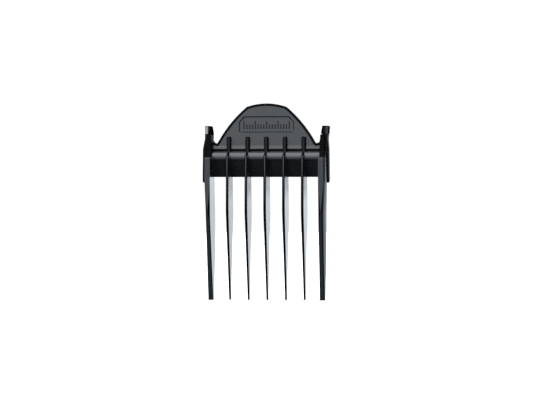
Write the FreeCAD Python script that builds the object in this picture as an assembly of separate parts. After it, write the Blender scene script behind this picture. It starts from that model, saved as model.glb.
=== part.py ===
import FreeCAD, Part
import math
import os

# Slide-on guide comb for a hair clipper, in millimetres.
# +X is to the right, +Y goes back towards the clipper and +Z goes up, away from the tooth tips.
# The origin is on the flat rear face of the thumb plate, where the clipper head rests.

os.makedirs("parts", exist_ok=True)

# ---- driving dimensions ----
INNER_TEETH = 5
PITCH = 7.25
TOOTH_T = 1.05
TOOTH_TIP_T = 0.72
FRONT_Y = -7.6
TIP_Z = -60.3
KNEE_Z = -26.6

WALL_IN = 20.85
WALL_T = 2.05
WALL_OUT = WALL_IN + WALL_T

PLATE_T = 1.8
PLATE_BOTTOM_Z = -2.8
PLATE_EDGE_Z = 0.6
VALLEY_X = 19.1
VALLEY_Z = 0.0
SHOULDER_X = 7.65
SHOULDER_Z = 14.1
FLANK_MID = (13.5, 8.25)
APEX_Z = 15.4
RIM_W = 0.95
RIM_PROUD = 0.2

LABEL_DEPTH = 0.4
LABEL_DRAFT = 0.4
LABEL_HALF = 10.7
LABEL_TOP_HALF = 8.8
LABEL_LOW_Z = 4.2
LABEL_HIGH_Z = 10.45
LABEL_CUT_Z = 8.3

ROLL_R = 2.2
ROLL_Y = -2.3
ROLL_Z = PLATE_BOTTOM_Z - ROLL_R
APRON_TOP_Z = ROLL_Z - 1.7
APRON_LOW_Z = -12.9
APRON_T = 2.2
APRON_BACK = 3.9

REAR_REST_Y = 4.6
CHEEK_BACK_Y = 10.4
SIDE_TOOTH_BACK_Y = 0.9
SIDE_TOP_Z = -5.2

EAR_TOP_Z = 3.45
EAR_FRONT_Y = -5.2
EAR_BACK_Y = 0.8
EAR_HIGH_OUT = 22.6
EAR_OUT = 22.95

HINGE_X = 23.15
HINGE_Z = -1.5
HINGE_R = 0.5
HINGE_GAP = 0.08
LEVER_LOW_Z = -15.1
LEVER_FRONT_Y = -4.6
LEVER_BACK_Y = -0.7
TAB_FRONT_Y = -2.6
TAB_BACK_Y = 3.5
TAB_LOW_Z = 3.7
TAB_TOP_Z = 6.8

PLATE_FRONT_Y = -PLATE_T


# ---- drawing helpers ----
def yz(point, x=0.0):
    return FreeCAD.Vector(x, point[0], point[1])


def xz(point, y=0.0):
    return FreeCAD.Vector(point[0], y, point[1])


def rounded_wire(corners, place):
    """Closed outline through corners (a, b, radius), each corner rounded by a tangent arc."""
    points = [FreeCAD.Vector(a, b, 0) for a, b, radius in corners]
    count = len(corners)
    starts = []
    ends = []
    middles = []
    for i, (a, b, radius) in enumerate(corners):
        here = points[i]
        before = (points[i - 1] - here).normalize()
        after = (points[(i + 1) % count] - here).normalize()
        half = before.getAngle(after) / 2
        trim = radius / math.tan(half)
        bisector = (before + after).normalize() if radius > 0 else before
        starts.append(here + before * trim)
        ends.append(here + after * trim)
        middles.append(here + bisector * (radius / math.sin(half) - radius))
    edges = []
    for i, (a, b, radius) in enumerate(corners):
        nxt = (i + 1) % count
        if radius > 0:
            arc = Part.Arc(flat(starts[i], place), flat(middles[i], place), flat(ends[i], place))
            edges.append(arc.toShape())
        if (starts[nxt] - ends[i]).Length > 1e-6:
            edges.append(Part.makeLine(flat(ends[i], place), flat(starts[nxt], place)))
    return Part.Wire(edges)


def flat(vector, place):
    return place((vector.x, vector.y))


def prism_x(corners, x_low, x_high):
    """Side outline in Y and Z, extruded across the comb."""
    wire = rounded_wire(corners, lambda p: yz(p, x_low))
    return Part.Face(wire).extrude(FreeCAD.Vector(x_high - x_low, 0, 0))


def prism_y(corners, y_low, y_high):
    """Front outline in X and Z, extruded from front to back."""
    wire = rounded_wire(corners, lambda p: xz(p, y_low))
    return Part.Face(wire).extrude(FreeCAD.Vector(0, y_high - y_low, 0))


def loft_y(near_corners, far_corners, y_near, y_far):
    """Front outline in X and Z that changes evenly from one depth to another."""
    near = rounded_wire(near_corners, lambda p: xz(p, y_near))
    far = rounded_wire(far_corners, lambda p: xz(p, y_far))
    return Part.makeLoft([near, far], True, True)


def box(x0, x1, y0, y1, z0, z1):
    return Part.makeBox(x1 - x0, y1 - y0, z1 - z0, FreeCAD.Vector(x0, y0, z0))


def mirrored(shape):
    return shape.mirror(FreeCAD.Vector(0, 0, 0), FreeCAD.Vector(1, 0, 0))


def soften(shape, radius, pick):
    """Round the edges whose bounding box is picked."""
    return shape.makeFillet(radius, [edge for edge in shape.Edges if pick(edge.BoundBox)])


def save(name, shape):
    assert shape.isValid(), name
    shape.exportStep("parts/" + name + ".step")


def save_pair(name, right):
    save(name + "_right", right)
    save(name + "_left", mirrored(right))


# ---- inner teeth: sabre-shaped blades, each below a wider rib on the plate ----
RIB_T = 1.7
RIB_FRONT_Y = -3.4
RIB_TOP_Z = 2.6
RIB_LOW_Z = -3.2
TOOTH_TOP_Z = -4.8
TIP_BACK_Y = 1.8
APRON_FRONT_Y = ROLL_Y - math.sqrt(ROLL_R ** 2 - (APRON_TOP_Z - ROLL_Z) ** 2)
APRON_SLOPE = APRON_BACK / (APRON_TOP_Z - APRON_LOW_Z)
SEAT_IN_APRON = 1.2
SEAT_Z = APRON_TOP_Z - (PLATE_FRONT_Y - APRON_FRONT_Y - SEAT_IN_APRON) / APRON_SLOPE

tooth_outline = [
    (PLATE_FRONT_Y, RIB_LOW_Z, 0),
    (RIB_FRONT_Y, RIB_LOW_Z, 0.2),
    (FRONT_Y, TOOTH_TOP_Z, 0.8),
    (FRONT_Y, KNEE_Z, 18),
    (0.5, TIP_Z, 0.35),
    (TIP_BACK_Y, TIP_Z, 0.35),
    (TIP_BACK_Y + 0.5, TIP_Z + 4, 4),
    (REAR_REST_Y + 1.6, KNEE_Z + 0.5, 14),
    (REAR_REST_Y, APRON_LOW_Z, 0),
    (APRON_FRONT_Y + SEAT_IN_APRON + APRON_BACK, APRON_LOW_Z, 0),
    (PLATE_FRONT_Y, SEAT_Z, 0),
]
tooth_taper = [
    (TOOTH_T / 2, 0, 0),
    (TOOTH_T / 2, KNEE_Z, 40),
    (TOOTH_TIP_T / 2, TIP_Z - 1, 0),
    (-TOOTH_TIP_T / 2, TIP_Z - 1, 0),
    (-TOOTH_T / 2, KNEE_Z, 40),
    (-TOOTH_T / 2, 0, 0),
]
tooth = prism_x(tooth_outline, -TOOTH_T / 2, TOOTH_T / 2)
tooth = tooth.common(prism_y(tooth_taper, FRONT_Y - 1, REAR_REST_Y + 4))
BLADE_ROUND = 0.35
tooth = soften(tooth, BLADE_ROUND,
               lambda b: b.XLength < TOOTH_T / 2 and b.YMax < TIP_BACK_Y / 2 and b.ZMax < RIB_LOW_Z + 0.01
               and b.DiagonalLength > BLADE_ROUND and b.YMin < RIB_FRONT_Y)

plate_rib = prism_x([
    (PLATE_FRONT_Y, RIB_TOP_Z, 0),
    (RIB_FRONT_Y, RIB_TOP_Z, 0.5),
    (RIB_FRONT_Y, RIB_LOW_Z, 0),
    (PLATE_FRONT_Y, RIB_LOW_Z, 0),
], -RIB_T / 2, RIB_T / 2)
plate_rib = soften(plate_rib, 0.6, lambda b: b.XLength < 0.01 and b.YMax < PLATE_FRONT_Y - 0.01)

REST_T = TOOTH_T - 0.1
rest_rib = prism_x([
    (0, PLATE_BOTTOM_Z, 0),
    (0, APRON_TOP_Z, 0),
    (APRON_FRONT_Y + APRON_T + APRON_BACK, APRON_LOW_Z, 0),
    (REAR_REST_Y, APRON_LOW_Z, 0),
], -REST_T / 2, REST_T / 2)

tooth_places = [PITCH * (i - (INNER_TEETH - 1) / 2) for i in range(INNER_TEETH)]
tooth_slots = []
for number, x in enumerate(tooth_places, start=1):
    move = FreeCAD.Vector(x, 0, 0)
    save("tooth_" + str(number), tooth.translated(move))
    save("plate_rib_" + str(number), plate_rib.translated(move))
    save("rest_rib_" + str(number), rest_rib.translated(move))
    tooth_slots.append(tooth.translated(move))
    tooth_slots.append(plate_rib.translated(move))

# ---- thumb plate, its rim and the label recess ----
flank = Part.Arc(xz((VALLEY_X, VALLEY_Z)), xz(FLANK_MID), xz((SHOULDER_X, SHOULDER_Z))).toShape()
crown = Part.Arc(xz((SHOULDER_X, SHOULDER_Z)), xz((0, APEX_Z)), xz((-SHOULDER_X, SHOULDER_Z))).toShape()
arch = Part.Wire([flank, crown, mirrored(flank)])
foot_points = [
    (-VALLEY_X, VALLEY_Z),
    (-WALL_IN, PLATE_EDGE_Z),
    (-WALL_IN, PLATE_BOTTOM_Z),
    (WALL_IN, PLATE_BOTTOM_Z),
    (WALL_IN, PLATE_EDGE_Z),
    (VALLEY_X, VALLEY_Z),
]
foot = [Part.makeLine(xz(a), xz(b)) for a, b in zip(foot_points, foot_points[1:])]
outline = Part.Wire([flank, crown, mirrored(flank)] + foot)
plate = Part.Face(outline).extrude(FreeCAD.Vector(0, -PLATE_T, 0))
rim_face = arch.makeOffset2D(-RIM_W, 0, True, True)
if rim_face.BoundBox.ZMax > APEX_Z + 0.1:
    rim_face = arch.makeOffset2D(RIM_W, 0, True, True)
rim = rim_face.extrude(FreeCAD.Vector(0, -PLATE_T - RIM_PROUD, 0))
foot_rim = prism_y([
    (VALLEY_X - 0.25, VALLEY_Z + 0.1, 0),
    (VALLEY_X, VALLEY_Z, 0),
    (WALL_IN, PLATE_EDGE_Z, 0),
    (WALL_IN, PLATE_EDGE_Z - RIM_W - 0.2, 0),
    (VALLEY_X - 0.1, VALLEY_Z - RIM_W - 0.1, 0),
    (VALLEY_X - RIM_W + 0.2, VALLEY_Z - RIM_W / 2, 0),
], -PLATE_T - RIM_PROUD, 0)
rim = rim.fuse([foot_rim, mirrored(foot_rim)]).removeSplitter()
save("plate_rim", rim)

LIP_Z = -2.3
LIP_HIGH_Z = -0.8
LIP_PROUD = 0.3
lip = prism_x([
    (PLATE_FRONT_Y, LIP_HIGH_Z, 0),
    (PLATE_FRONT_Y - LIP_PROUD, LIP_Z + 0.3, 0.2),
    (PLATE_FRONT_Y - LIP_PROUD + 0.1, LIP_Z, 0.1),
    (PLATE_FRONT_Y, LIP_Z, 0),
], -WALL_IN, WALL_IN)
CREASE_DEPTH = 1.3
crease = box(-WALL_IN, WALL_IN, PLATE_FRONT_Y, PLATE_FRONT_Y + CREASE_DEPTH, PLATE_BOTTOM_Z, LIP_Z)


def label_corners(inset):
    low = LABEL_LOW_Z + inset
    high = LABEL_HIGH_Z - inset
    half = LABEL_HALF - inset
    top_half = LABEL_TOP_HALF - inset
    return [(-half, low, 0.4), (half, low, 0.4), (half, LABEL_CUT_Z, 0.7),
            (top_half, high, 0.7), (-top_half, high, 0.7), (-half, LABEL_CUT_Z, 0.7)]


LABEL_FLOOR_Y = PLATE_FRONT_Y + LABEL_DEPTH
label = loft_y(label_corners(0), label_corners(LABEL_DRAFT), PLATE_FRONT_Y, LABEL_FLOOR_Y)
for slot in tooth_slots:
    lip = lip.cut(slot)
plate = plate.fuse(lip).cut(rim).cut(crease).cut(label).removeSplitter()
save("thumb_plate", plate)

# a plain length scale moulded in the recess: a long stroke after every four short ones
STROKES = 17
STROKE_STEP = 1.1
STROKE_W = 0.42
STROKE_RISE = 0.35
STROKE_LOW_Z = 5.6
STROKE_LONG = 3.0
STROKE_SHORT = 1.8
strokes = []
for i in range(STROKES):
    x = STROKE_STEP * (i - (STROKES - 1) / 2)
    height = STROKE_LONG if i % 4 == 0 else STROKE_SHORT
    stroke = box(x - STROKE_W / 2, x + STROKE_W / 2, LABEL_FLOOR_Y - STROKE_RISE, LABEL_FLOOR_Y,
                 STROKE_LOW_Z, STROKE_LOW_Z + height)
    strokes.append(stroke)
save("scale_strokes", Part.makeCompound(strokes))

# ---- round bar below the crease, cored out from behind ----
roll_end = FreeCAD.Vector(-WALL_IN, ROLL_Y, ROLL_Z)
roll = Part.makeCylinder(ROLL_R, 2 * WALL_IN, roll_end, FreeCAD.Vector(1, 0, 0))
roll = roll.cut(box(-WALL_IN, WALL_IN, ROLL_Y - ROLL_R, ROLL_Y + ROLL_R, ROLL_Z - ROLL_R, APRON_TOP_Z))
roll = roll.cut(box(-WALL_IN, WALL_IN, ROLL_Y, ROLL_Y + ROLL_R, ROLL_Z - ROLL_R, PLATE_BOTTOM_Z))
roll = roll.fuse(box(-WALL_IN, WALL_IN, ROLL_Y, 0, APRON_TOP_Z, PLATE_BOTTOM_Z)).removeSplitter()
for slot in tooth_slots:
    roll = roll.cut(slot)
CORE_INSET = 1.2
CORE_DEPTH = 1.0
cell_edges = [-WALL_IN] + tooth_places + [WALL_IN]
for left, right in zip(cell_edges, cell_edges[1:]):
    core = prism_y([
        (left + CORE_INSET, APRON_TOP_Z + 0.6, 0.4),
        (right - CORE_INSET, APRON_TOP_Z + 0.6, 0.4),
        (right - CORE_INSET, PLATE_BOTTOM_Z - 0.8, 0.4),
        (left + CORE_INSET, PLATE_BOTTOM_Z - 0.8, 0.4),
    ], -CORE_DEPTH, 0)
    roll = roll.cut(core)
save("round_bar", roll)

# ---- apron: leans back below the round bar to the blade's edge ----
apron = prism_x([
    (APRON_FRONT_Y, APRON_TOP_Z, 0),
    (APRON_FRONT_Y + APRON_BACK, APRON_LOW_Z, 0.3),
    (APRON_FRONT_Y + APRON_BACK + APRON_T, APRON_LOW_Z, 0),
    (0, APRON_TOP_Z, 0),
], -WALL_IN, WALL_IN)
for slot in tooth_slots:
    apron = apron.cut(slot)
save("apron", apron)

# ---- outer teeth: thick, narrow at the waist and square at the tip ----
APRON_REAR_Y = APRON_FRONT_Y + APRON_BACK + APRON_T
APRON_END_Z = APRON_TOP_Z - (APRON_TOP_Z - APRON_LOW_Z) * SIDE_TOOTH_BACK_Y / APRON_REAR_Y
SIDE_FRONT_Y = -9.9
SIDE_KNEE_Z = -26.0
SIDE_TIP_FRONT_Y = -2.0
SIDE_TIP_BACK_Y = 0.1
WAIST_IN = 20.9
WAIST_OUT = 22.5
TIP_IN = 20.65
TIP_OUT = 22.6
side_outline = [
    (SIDE_FRONT_Y, SIDE_TOP_Z, 1.0),
    (SIDE_FRONT_Y, SIDE_KNEE_Z, 15),
    (SIDE_TIP_FRONT_Y, TIP_Z, 0.25),
    (SIDE_TIP_BACK_Y, TIP_Z, 0.25),
    (4.0, -44, 35),
    (4.9, -27, 35),
    (APRON_REAR_Y, APRON_LOW_Z, 0),
    (SIDE_TOOTH_BACK_Y, APRON_END_Z, 0),
    (SIDE_TOOTH_BACK_Y, SIDE_TOP_Z, 0),
]
side_taper = [
    (WALL_IN, SIDE_TOP_Z, 0),
    (WALL_IN, -15, 12),
    (WAIST_IN, KNEE_Z, 20),
    (TIP_IN, TIP_Z, 0),
    (TIP_OUT, TIP_Z, 0),
    (WAIST_OUT, KNEE_Z, 20),
    (WALL_OUT, -15, 12),
    (WALL_OUT, SIDE_TOP_Z, 0),
]
side_tooth = prism_x(side_outline, WALL_IN - 1, WALL_OUT + 1)
side_tooth = side_tooth.common(prism_y(side_taper, SIDE_FRONT_Y - 1, APRON_REAR_Y + 4))


def half_space(point, normal):
    """Everything near a point that lies on the side its normal shows."""
    cutter = Part.makeBox(80, 80, 20, FreeCAD.Vector(-40, -40, 0))
    cutter.Placement = FreeCAD.Placement(point, FreeCAD.Rotation(FreeCAD.Vector(0, 0, 1), normal))
    return cutter


# bevels on both front corners run together at the waist, and open out again as the front leans back;
# below the waist a narrow chamfer follows each edge
BEVEL_TOP_Z = -15.0
BEVEL_MEET_Z = -27.0
LOW_CHAMFER = 0.35
front_normal = FreeCAD.Vector(0, TIP_Z - SIDE_KNEE_Z, SIDE_FRONT_Y - SIDE_TIP_FRONT_Y).normalize()
half = WALL_T / 2
meet = FreeCAD.Vector(WALL_IN + half, SIDE_FRONT_Y, BEVEL_MEET_Z)
for side, waist_x, tip_x in ((1, WAIST_OUT, TIP_OUT), (-1, WAIST_IN, TIP_IN)):
    bevel_normal = FreeCAD.Vector(side * (BEVEL_TOP_Z - BEVEL_MEET_Z), BEVEL_MEET_Z - BEVEL_TOP_Z, -half)
    side_tooth = side_tooth.cut(half_space(meet, bevel_normal))
    waist = FreeCAD.Vector(waist_x, SIDE_FRONT_Y, SIDE_KNEE_Z)
    along = (FreeCAD.Vector(tip_x, SIDE_TIP_FRONT_Y, TIP_Z) - waist).normalize()
    sideways = along.cross(front_normal).normalize()
    if sideways.x * side < 0:
        sideways = -sideways
    side_tooth = side_tooth.cut(half_space(waist - sideways * LOW_CHAMFER, front_normal + sideways))
save_pair("outer_tooth", side_tooth)

# ---- cheeks behind the outer teeth guide the clipper head; rails at their back keep it in ----
CHEEK_OUT = WALL_OUT - 0.1
CHEEK_TOP_Z = -1.5
CHEEK_RISE = 2.6
RAIL_FRONT_Y = CHEEK_BACK_Y - 1.2
RAIL_IN = 1.1
cheek = prism_x([
    (SIDE_TOOTH_BACK_Y, APRON_END_Z, 0),
    (APRON_REAR_Y, APRON_LOW_Z, 0),
    (RAIL_FRONT_Y, APRON_LOW_Z + CHEEK_RISE, 0),
    (RAIL_FRONT_Y, CHEEK_TOP_Z, 0),
    (SIDE_TOOTH_BACK_Y, CHEEK_TOP_Z, 0),
], WALL_IN, CHEEK_OUT)
save_pair("cheek", cheek)

rail = prism_y([
    (WALL_IN - RAIL_IN, APRON_LOW_Z + 4.2, 0.5),
    (WALL_IN + 0.4, APRON_LOW_Z + CHEEK_RISE, 0.5),
    (CHEEK_OUT, APRON_LOW_Z + CHEEK_RISE, 0.5),
    (CHEEK_OUT, CHEEK_TOP_Z, 0.5),
    (WALL_IN + 0.4, CHEEK_TOP_Z, 0.5),
    (WALL_IN - RAIL_IN, CHEEK_TOP_Z - 1.4, 0.5),
], RAIL_FRONT_Y, CHEEK_BACK_Y)
save_pair("head_rail", rail)

# ---- ears: brackets above the outer teeth that carry the levers ----
EAR_WIDE_Z = -2.0
EAR_STEP_Z = 0.8
EAR_STEP = 0.25
ear = prism_x([
    (FRONT_Y + 0.9, SIDE_TOP_Z, 0),
    (EAR_FRONT_Y, SIDE_TOP_Z + 2.0, 2.0),
    (EAR_FRONT_Y - 0.3, EAR_TOP_Z, 0.8),
    (EAR_BACK_Y - 0.6, EAR_TOP_Z, 0.8),
    (EAR_BACK_Y, CHEEK_TOP_Z, 0),
    (SIDE_TOOTH_BACK_Y, CHEEK_TOP_Z, 0),
    (SIDE_TOOTH_BACK_Y, SIDE_TOP_Z, 0),
], WALL_IN, EAR_OUT)
ear_front = prism_y([
    (WALL_IN, SIDE_TOP_Z, 0),
    (WALL_IN, EAR_STEP_Z, 0),
    (WALL_IN + EAR_STEP, EAR_STEP_Z + 1.0, 0.8),
    (WALL_IN + EAR_STEP, EAR_TOP_Z, 0),
    (EAR_HIGH_OUT, EAR_TOP_Z, 0),
    (EAR_OUT, EAR_WIDE_Z, 1.5),
    (WALL_OUT, SIDE_TOP_Z, 0),
], FRONT_Y, SIDE_TOOTH_BACK_Y)
ear = ear.common(ear_front)
ear = soften(ear, 0.5, lambda b: b.YMax < EAR_BACK_Y - 0.2 and b.ZMin > SIDE_TOP_Z + 0.01 and b.XLength < 0.8)
save_pair("ear", ear)

# a rounded nose on the ear sits in a groove of the lever, where the thin flexing web is
NOSE_INSET = 0.5
nose_length = LEVER_BACK_Y - LEVER_FRONT_Y - 2 * NOSE_INSET
nose_end = FreeCAD.Vector(HINGE_X, LEVER_FRONT_Y + NOSE_INSET, HINGE_Z)
hinge_web = Part.makeCylinder(HINGE_R, nose_length, nose_end, FreeCAD.Vector(0, 1, 0)).cut(ear)
save_pair("hinge_web", hinge_web)

# ---- levers: press the arms in and the hooks behind the ears swing out ----
NECK_Z = 2.0
arm = prism_y([
    (23.5, LEVER_LOW_Z, 0.3),
    (24.5, LEVER_LOW_Z, 0.5),
    (24.35, -2.2, 5),
    (23.75, NECK_Z, 4),
    (23.85, TAB_LOW_Z, 0),
    (22.85, TAB_LOW_Z, 0),
    (22.85, NECK_Z, 3),
    (23.2, -2.0, 5),
], LEVER_FRONT_Y, TAB_BACK_Y)
arm_side = prism_x([
    (LEVER_FRONT_Y, LEVER_LOW_Z, 1.5),
    (LEVER_BACK_Y, LEVER_LOW_Z, 1.5),
    (LEVER_BACK_Y, -2.0, 4),
    (TAB_BACK_Y, TAB_LOW_Z, 0),
    (TAB_FRONT_Y, TAB_LOW_Z, 0),
    (LEVER_FRONT_Y, -2.0, 4),
], WALL_IN, HINGE_X + 3)
groove = Part.makeCylinder(HINGE_R + HINGE_GAP, 20, FreeCAD.Vector(HINGE_X, -10, HINGE_Z),
                           FreeCAD.Vector(0, 1, 0))
arm = arm.common(arm_side).cut(groove)
arm = soften(arm, 0.4, lambda b: b.XMin > HINGE_X + 0.4 and b.ZMin < TAB_LOW_Z - 0.01)
save_pair("lever_arm", arm)

TAB_IN = 21.1
TAB_OUT = 24.1
tab = prism_y([
    (TAB_IN, TAB_LOW_Z, 0),
    (TAB_OUT - 0.25, TAB_LOW_Z, 0),
    (TAB_OUT, TAB_TOP_Z, 0),
    (TAB_IN + 0.5, TAB_TOP_Z, 0),
], TAB_FRONT_Y, TAB_BACK_Y)
# the outer part of its front is a facet turned outwards and slightly up
FACET_X = 22.5
FACET_TURN = math.radians(30)
FACET_RISE = math.radians(12)
facet_foot = FreeCAD.Vector(FACET_X, TAB_FRONT_Y, TAB_LOW_Z)
facet_normal = FreeCAD.Vector(math.sin(FACET_TURN) * math.cos(FACET_RISE),
                              -math.cos(FACET_TURN) * math.cos(FACET_RISE), math.sin(FACET_RISE))
tab = tab.cut(half_space(facet_foot, facet_normal))
tab = soften(tab, 0.4, lambda b: b.ZMax > TAB_LOW_Z + 0.01)
save_pair("lever_tab", tab)

HOOK_FRONT_Y = 1.2
HOOK_BACK_Y = 3.2
HOOK_IN = TAB_IN + 0.1
HOOK_OUT = 22.85
HOOK_NOSE_X = WALL_IN - 0.25
hook = prism_y([
    (HOOK_IN, TAB_LOW_Z, 0),
    (HOOK_OUT, TAB_LOW_Z, 0),
    (HOOK_OUT, 2.6, 0),
    (22.4, 0.3, 0.3),
    (HOOK_NOSE_X, -0.1, 0.1),
    (HOOK_NOSE_X, 0.5, 0.1),
    (HOOK_IN, 1.3, 0.3),
], HOOK_FRONT_Y, HOOK_BACK_Y)
save_pair("latch_hook", hook)
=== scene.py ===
import math

import bmesh
import bpy
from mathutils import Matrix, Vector


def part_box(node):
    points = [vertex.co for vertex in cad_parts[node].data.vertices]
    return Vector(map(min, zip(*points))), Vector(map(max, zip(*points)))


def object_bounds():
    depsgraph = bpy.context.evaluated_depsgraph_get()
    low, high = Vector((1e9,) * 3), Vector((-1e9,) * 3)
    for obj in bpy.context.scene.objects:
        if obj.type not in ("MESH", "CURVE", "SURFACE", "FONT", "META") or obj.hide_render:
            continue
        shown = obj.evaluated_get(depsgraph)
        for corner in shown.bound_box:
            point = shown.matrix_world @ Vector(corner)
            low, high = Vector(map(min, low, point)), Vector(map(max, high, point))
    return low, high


# Looks of a slide-on guide comb for a hair clipper: black moulded plastic in a soft studio.
# The CAD nodes are the whole shape. They get skins here, and some of them get rounded edges.

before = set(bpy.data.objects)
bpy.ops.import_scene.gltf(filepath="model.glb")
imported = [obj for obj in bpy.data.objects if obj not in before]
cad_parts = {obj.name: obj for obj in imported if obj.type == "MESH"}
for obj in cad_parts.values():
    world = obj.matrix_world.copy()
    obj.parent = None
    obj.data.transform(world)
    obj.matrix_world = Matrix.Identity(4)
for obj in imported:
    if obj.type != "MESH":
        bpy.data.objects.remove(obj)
cad_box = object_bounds()
MM = 0.001

# ---- materials ----
PLASTIC_IOR = 1.5
GRAIN_DETAIL = 3.0
GRAIN_RELIEF_MM = 0.02
CLOUD_MM = 6.0
CLOUD_DETAIL = 2.0
CLOUD_RANGE = (0.3, 0.7)
CLOUD_GLOSS = (0.85, 1.2)  # the roughness is multiplied by this at either end of the range
CLOUD_TINT = 1.5


def clear_material(name):
    material = bpy.data.materials.new(name)
    material.use_nodes = True
    nodes = material.node_tree.nodes
    links = material.node_tree.links
    nodes.clear()
    out = nodes.new("ShaderNodeOutputMaterial")
    shader = nodes.new("ShaderNodeBsdfPrincipled")
    links.new(shader.outputs["BSDF"], out.inputs["Surface"])
    return material, nodes, links, shader


def black_plastic(name, colour, roughness, specular, grain_mm, bump, coat=None, coat_ior=PLASTIC_IOR):
    """Moulded black plastic: fine grain, cloudy gloss and a faint change of tint.

    Roughness is a number, or (axis, start, end, first, last) to change along an axis in mm.
    Coat is such a change too: the share of a glossier layer over the plastic, which paints highlights and
    reflections where it is used.
    """
    material, nodes, links, shader = clear_material(name)
    coords = nodes.new("ShaderNodeTexCoord")

    def noise(size_mm, detail):
        texture = nodes.new("ShaderNodeTexNoise")
        texture.inputs["Scale"].default_value = 1 / (size_mm * MM)
        texture.inputs["Detail"].default_value = detail
        links.new(coords.outputs["Object"], texture.inputs["Vector"])
        return texture.outputs["Fac"]

    def spread(value, start, end, first, last):
        """Even change from first to last while a value goes from start to end."""
        change = nodes.new("ShaderNodeMapRange")
        for key, number in (("From Min", start), ("From Max", end), ("To Min", first), ("To Max", last)):
            change.inputs[key].default_value = number
        links.new(value, change.inputs["Value"])
        return change.outputs["Result"]

    place = nodes.new("ShaderNodeSeparateXYZ")
    links.new(coords.outputs["Object"], place.inputs[0])

    def along(axis, start, end, first, last):
        return spread(place.outputs[axis], start * MM, end * MM, first, last)

    grain = noise(grain_mm, GRAIN_DETAIL)
    cloud = noise(CLOUD_MM, CLOUD_DETAIL)
    shader.inputs["IOR"].default_value = PLASTIC_IOR
    shader.inputs["Specular IOR Level"].default_value = specular

    gloss = nodes.new("ShaderNodeMath")
    gloss.operation = "MULTIPLY"
    links.new(spread(cloud, *CLOUD_RANGE, *CLOUD_GLOSS), gloss.inputs[0])
    if isinstance(roughness, tuple):
        links.new(along(*roughness), gloss.inputs[1])
    else:
        gloss.inputs[1].default_value = roughness
    links.new(gloss.outputs[0], shader.inputs["Roughness"])

    if coat:
        links.new(along(*coat), shader.inputs["Coat Weight"])
        shader.inputs["Coat IOR"].default_value = coat_ior
        shader.inputs["Coat Roughness"].default_value = roughness

    tint = nodes.new("ShaderNodeMix")
    tint.data_type = "RGBA"
    tint.inputs["A"].default_value = (*colour, 1)
    tint.inputs["B"].default_value = (*(c * CLOUD_TINT for c in colour), 1)
    links.new(cloud, tint.inputs["Factor"])
    links.new(tint.outputs["Result"], shader.inputs["Base Color"])

    relief = nodes.new("ShaderNodeBump")
    relief.inputs["Strength"].default_value = bump
    relief.inputs["Distance"].default_value = GRAIN_RELIEF_MM * MM
    links.new(grain, relief.inputs["Height"])
    links.new(relief.outputs["Normal"], shader.inputs["Normal"])
    return material


BLACK = (0.0030, 0.0033, 0.0038)
DARK = (0.0016, 0.0018, 0.0021)
# painted shade: this near-black stands in for shade and dark reflections on the crease, corner, rim and ear
# skins
SHADE_BLACK = (0.0008, 0.0008, 0.0009)
SKINS = {  # skin: colour, roughness, specular level, grain in mm, strength of the grain, any coat and its IOR
    "plate": (BLACK, 0.26, 0.31, 0.5, 0.2),
    "rib": (BLACK, 0.30, 0.04, 0.5, 0.2),
    "stroke": (BLACK, 0.30, 0.10, 0.3, 0.2),
    "blade": (BLACK, ("Z", -24, -17, 0.09, 0.26), 0.5, 0.6, 0.06),
    "spine": (BLACK, 0.20, 0.24, 0.6, 0.08),
    "front": (BLACK, 0.20, 0.21, 0.6, 0.08),
    # painted shade: the lower front of the outer teeth reflects less than the upper front
    "low_front_painted_shade": (BLACK, 0.20, 0.08, 0.6, 0.08),
    "inner_flank": (BLACK, 0.08, 0.9, 0.6, 0.05),
    # painted reflection: the outer flank has no reflection of its own, and a glossy coat fades in towards the
    # back
    "outer_flank_painted_reflection": (BLACK, 0.28, 0.0, 0.6, 0.06, ("Y", -9, 5, 0.0, 1.0), 1.24),
    "bar": (BLACK, 0.13, 0.44, 0.6, 0.06),
    # painted shade: the apron skin's darker colour stands in for the dark reflection under the round bar
    "apron": (DARK, 0.20, 0.30, 0.5, 0.12),
    # painted shade: the edge skin is duller than the faces it rounds, darkening the bevels of the scale
    # strokes, the rest rib and the head rail
    "edge": (BLACK, 0.40, 0.05, 0.3, 0.3),
    # painted shade: a near-black skin with no reflection for creases, rounded corners, the fronts below the
    # apron and the tab bodies
    "painted_shade": (SHADE_BLACK, 0.60, 0.0, 0.3, 0.3),
    # painted shade: the rim skin is near-black and barely reflects, for the dark outline of the plate's rim
    # and the ribs' sides and tops
    "rim": (SHADE_BLACK, 0.40, 0.02, 0.4, 0.2),
    # the ear skin's near-black colour is painted shade for the recessed ear; its matte roughness is its own
    "ear": (SHADE_BLACK, 0.50, 0.02, 0.25, 0.5),
    "lever": (DARK, 0.35, 0.01, 0.4, 0.2),
    # painted highlight: the tab facets reflect only where their coat fades in
    "left_facet_painted_highlight": (BLACK, 0.22, 0.0, 0.4, 0.1, ("X", -22.6, -22.9, 0.0, 1.0), 1.7),
    "right_facet_painted_highlight": (BLACK, 0.22, 0.0, 0.4, 0.1, ("X", 22.7, 23.0, 0.0, 0.5), 1.7),
}
skins = {key: black_plastic(key + "_skin", *row) for key, row in SKINS.items()}

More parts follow.
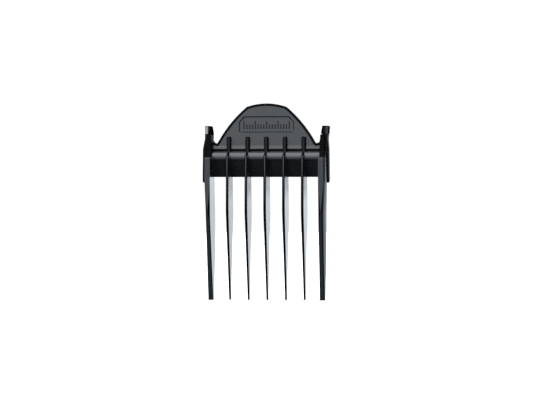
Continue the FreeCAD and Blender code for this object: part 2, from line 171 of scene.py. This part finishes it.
# ---- CAD nodes: the first skin covers all of a node until some of its faces are given another ----
FINISH = {  # start of the node's name: its skins; an edge that gets rounded here takes the second
    "tooth": ("blade", "painted_shade", "spine"),
    "outer_tooth": ("inner_flank", "painted_shade", "front", "outer_flank_painted_reflection", "low_front_painted_shade"),
    "plate_rim": ("rim", "rim"),
    "plate_rib": ("rib", "rim"),
    "thumb_plate": ("plate", "painted_shade"),
    "scale": ("stroke", "edge"),
    "round_bar": ("bar",),
    "apron": ("apron",),
    "rest_rib": ("apron", "edge"),
    "cheek": ("bar",),
    "head_rail": ("bar", "edge"),
    "ear": ("ear",),
    "hinge_web": ("ear",),
    "lever_arm": ("lever",),
    "lever_tab_left": ("painted_shade", "left_facet_painted_highlight"),
    "lever_tab_right": ("painted_shade", "right_facet_painted_highlight"),
    "latch_hook": ("lever", "lever"),
}
BEVEL_MM = {"plate_rim": 0.35, "scale": 0.12, "rest_rib": 0.15, "head_rail": 0.2, "latch_hook": 0.1}
BEVEL_SEGMENTS = 4
SHARP_EDGE = math.radians(35)
WELD_MM = 0.002
SECOND = 1


def round_edges(node, radius_mm):
    weld = node.modifiers.new("weld", "WELD")
    weld.merge_threshold = WELD_MM * MM
    bevel = node.modifiers.new("edges", "BEVEL")
    bevel.width = radius_mm * MM
    bevel.segments = BEVEL_SEGMENTS
    bevel.limit_method = "ANGLE"
    bevel.angle_limit = SHARP_EDGE
    bevel.harden_normals = True
    bevel.material = SECOND


for name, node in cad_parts.items():
    node.data.materials.clear()
    for key in next(row for start, row in FINISH.items() if name.startswith(start)):
        node.data.materials.append(skins[key])
    for face in node.data.polygons:
        face.use_smooth = True
        face.material_index = 0
    for start, radius in BEVEL_MM.items():
        if name.startswith(start):
            round_edges(node, radius)


def give_skin(start, key, test):
    """Gives one of their skins to the faces of some nodes that pass a test of centre and normal."""
    for name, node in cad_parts.items():
        if name.startswith(start):
            index = node.data.materials.find(skins[key].name)
            for face in node.data.polygons:
                if test(face.center, face.normal):
                    face.material_index = index


def forward(normal):
    return normal.y < -0.05


def straight_on(normal):
    return normal.y < -0.5 and abs(normal.x) < 0.1


# inner teeth: painted shade on the rounded corners and on the front below the apron's lower edge, and a
# glossier spine above that edge
apron_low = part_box("apron")[0].z
give_skin("tooth", "spine", lambda c, n: forward(n))
give_skin("tooth", "painted_shade", lambda c, n: forward(n) and (abs(n.x) > 0.2 or c.z < apron_low))

# painted shade on the ribs' sides and tops, in the rim skin
give_skin("plate_rib", "rim", lambda c, n: abs(n.x) > 0.3 or n.z > 0.3)

# outer teeth: a painted reflection on the outer flank, a coat that fades in from front to back; painted shade
# on the bevels; and painted shade on the front where it leans back, which reflects less there
give_skin("outer_tooth_right", "outer_flank_painted_reflection", lambda c, n: n.x > 0.5)
give_skin("outer_tooth_left", "outer_flank_painted_reflection", lambda c, n: n.x < -0.5)
give_skin("outer_tooth", "painted_shade", lambda c, n: forward(n) and abs(n.x) > 0.1)
give_skin("outer_tooth", "front", lambda c, n: straight_on(n))
give_skin("outer_tooth", "low_front_painted_shade", lambda c, n: straight_on(n) and n.z < -0.1)

# painted shade inside the crease between the plate's lip and the round bar
PLATE_FRONT = -1.8 * MM
CREASE_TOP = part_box("round_bar")[1].z + 0.55 * MM
give_skin("thumb_plate", "painted_shade", lambda c, n: c.z < CREASE_TOP and c.y > PLATE_FRONT - 0.4 * MM
          and (n.z < -0.5 or c.y > PLATE_FRONT + 0.2 * MM))

# painted highlight on the facet of each tab: a glossy coat that fades in across the facet, full on the left
# tab and half on the right
FACET_TURN = math.radians(30)
FACET_RISE = math.radians(12)
for side, hand in ((1, "right"), (-1, "left")):
    facing = Vector((side * math.sin(FACET_TURN) * math.cos(FACET_RISE),
                     -math.cos(FACET_TURN) * math.cos(FACET_RISE), math.sin(FACET_RISE)))
    give_skin("lever_tab_" + hand, hand + "_facet_painted_highlight", lambda c, n: n.dot(facing) > 0.99)

# ---- stage ----
FLOOR_GAP = 0.5 * MM
FLOOR_HALF = 3.0
floor_mesh = bpy.data.meshes.new("floor")
shape = bmesh.new()
bmesh.ops.create_grid(shape, x_segments=1, y_segments=1, size=FLOOR_HALF)
shape.to_mesh(floor_mesh)
shape.free()
floor = bpy.data.objects.new("floor", floor_mesh)
floor.location = (0, 0, cad_box[0].z - FLOOR_GAP)
floor.visible_glossy = False
bpy.context.scene.collection.objects.link(floor)
paper, nodes, links, shader = clear_material("pale_paper")
shader.inputs["Base Color"].default_value = (0.9, 0.9, 0.9, 1)
shader.inputs["Roughness"].default_value = 0.9
floor.data.materials.append(paper)

# ---- studio light: one large soft light high in front, falling off below and to the sides ----
LIGHT_TOP = 6.4
LIGHT = [  # angle up from straight in front, in degrees, and brightness
    (-180, 1.4), (-140, 0.7), (-95, 0.02), (-66, 0.10), (-44, 0.7), (-22, 1.8), (0, 3.5), (25, 5.4),
    (50, LIGHT_TOP), (70, 4.0), (86, 1.8), (100, 0.5), (118, 0.15), (145, 0.7), (165, 1.4), (180, 1.4)]
ASIDE = [  # sideways part of the direction, from -1 on the left to 1 on the right, and share of the light
    (-1.0, 0.7), (-0.9, 1.0), (-0.4, 1.0), (0.4, 1.0), (0.65, 0.2), (1.0, 0.12)]
BEHIND = 0.8  # least share of the light that comes from straight behind
LIGHT_TINT = (0.94, 1.0, 1.06)
BACKDROP = 1.05
world = bpy.data.worlds.new("studio")
bpy.context.scene.world = world
world.use_nodes = True
nodes = world.node_tree.nodes
links = world.node_tree.links
nodes.clear()


def math_node(operation, first, second):
    node = nodes.new("ShaderNodeMath")
    node.operation = operation
    for socket, value in zip(node.inputs, (first, second)):
        if isinstance(value, (int, float)):
            socket.default_value = value
        else:
            links.new(value, socket)
    return node.outputs[0]


def light_ramp(position, stops, tint):
    """Colour ramp over stops (place from 0 to 1, level), smoothed between them."""
    ramp = nodes.new("ShaderNodeValToRGB")
    ramp.color_ramp.interpolation = "B_SPLINE"
    links.new(position, ramp.inputs["Fac"])
    while len(ramp.color_ramp.elements) < len(stops):
        ramp.color_ramp.elements.new(0.5)
    for element, (place, level) in zip(ramp.color_ramp.elements, stops):
        element.position = place
        element.color = (*(level * t for t in tint), 1)
    return ramp.outputs["Color"]


direction = nodes.new("ShaderNodeTexCoord").outputs["Generated"]
split = nodes.new("ShaderNodeSeparateXYZ")
links.new(direction, split.inputs[0])
rise = math_node("ARCTAN2", split.outputs["Z"], math_node("MULTIPLY", split.outputs["Y"], -1))
turn = math_node("ADD", math_node("DIVIDE", rise, 2 * math.pi), 0.5)
around = light_ramp(turn, [(angle / 360 + 0.5, level / LIGHT_TOP) for angle, level in LIGHT], LIGHT_TINT)
sideways = math_node("ADD", math_node("MULTIPLY", split.outputs["X"], 0.5), 0.5)
aside = light_ramp(sideways, [(x / 2 + 0.5, share) for x, share in ASIDE], (1, 1, 1))
share = math_node("MAXIMUM", aside, math_node("MULTIPLY", split.outputs["Y"], BEHIND))
lamp = nodes.new("ShaderNodeBackground")
links.new(around, lamp.inputs["Color"])
links.new(math_node("MULTIPLY", share, LIGHT_TOP), lamp.inputs["Strength"])
seen = nodes.new("ShaderNodeBackground")
seen.inputs["Color"].default_value = (1, 1, 1, 1)
seen.inputs["Strength"].default_value = BACKDROP
mix = nodes.new("ShaderNodeMixShader")
links.new(nodes.new("ShaderNodeLightPath").outputs["Is Camera Ray"], mix.inputs["Fac"])
links.new(lamp.outputs[0], mix.inputs[1])
links.new(seen.outputs[0], mix.inputs[2])
out = nodes.new("ShaderNodeOutputWorld")
links.new(mix.outputs[0], out.inputs["Surface"])

# ---- camera: a long lens, level with the comb and a little to its right ----
AZIMUTH = math.radians(7.5)
DISTANCE = 1.2
TARGET = Vector((0.00079, -0.0018, -0.02367))
PX_PER_M = 2600
IMAGE_W = 537
SENSOR_MM = 36
camera_data = bpy.data.cameras.new("camera")
camera = bpy.data.objects.new("camera", camera_data)
bpy.context.scene.collection.objects.link(camera)
back = Vector((math.sin(AZIMUTH), -math.cos(AZIMUTH), 0))
camera.location = TARGET + back * DISTANCE
camera.rotation_mode = "QUATERNION"
camera.rotation_quaternion = (-back).to_track_quat("-Z", "Y")
camera_data.sensor_width = SENSOR_MM
camera_data.lens = SENSOR_MM * DISTANCE * PX_PER_M / IMAGE_W
camera_data.clip_start = 0.05
camera_data.clip_end = 50
bpy.context.scene.camera = camera
bpy.context.scene.view_settings.view_transform = "Standard"
